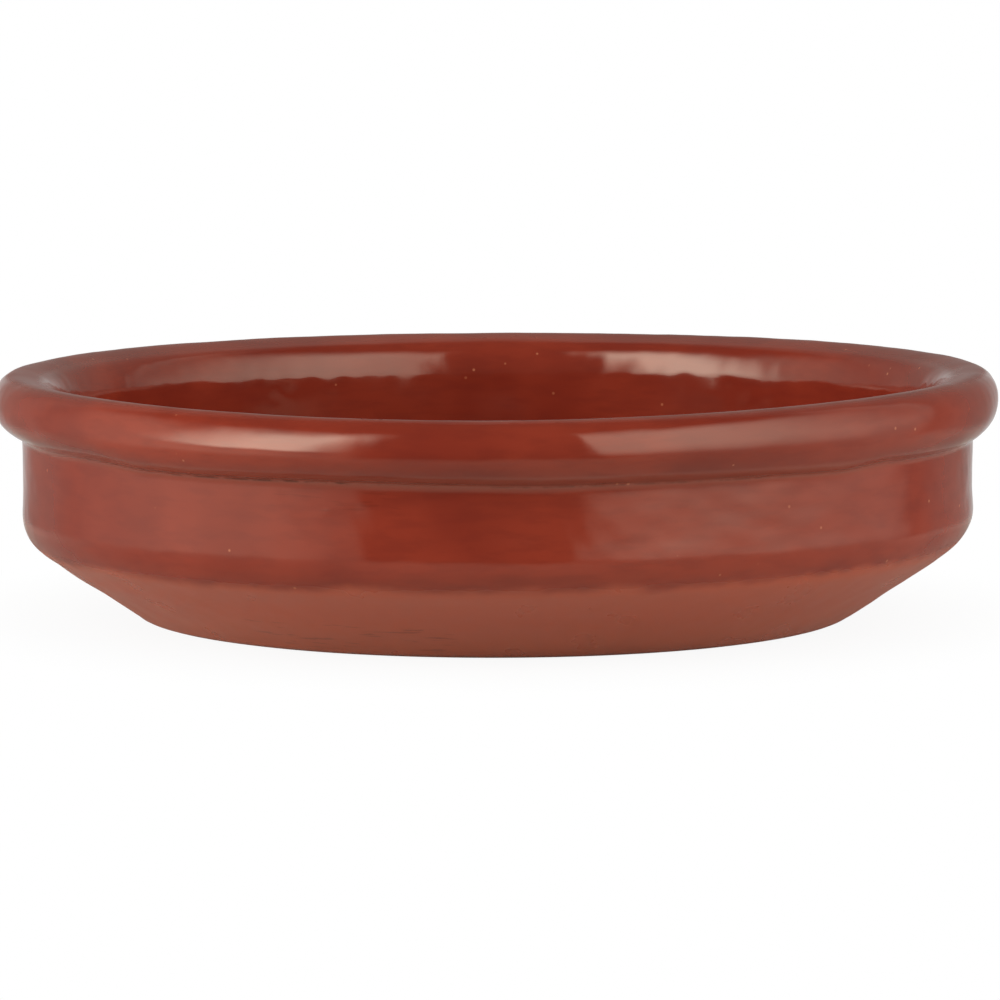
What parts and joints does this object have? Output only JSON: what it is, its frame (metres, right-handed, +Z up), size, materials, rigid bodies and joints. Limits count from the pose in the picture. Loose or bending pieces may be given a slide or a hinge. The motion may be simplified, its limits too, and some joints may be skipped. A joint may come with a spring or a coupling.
{
  "type": "cazuela",
  "caption": "Low round glazed terracotta dish with a rolled rim, an upright wall and an underside that slopes in to a flat base, for cooking and serving food.",
  "frame": {"origin": "middle of the flat base, where the dish stands", "axes": "+Z up along the axis the dish was turned on; the dish is round, so X and Y are free"},
  "size_m": [0.15, 0.15, 0.0365],
  "materials": {
    "glazed_terracotta": "clear glossy glaze over red-brown fired clay, with the flat base left bare"
  },
  "bodies": {
    "root": {"dish": "glazed_terracotta"}
  },
  "joints": []
}
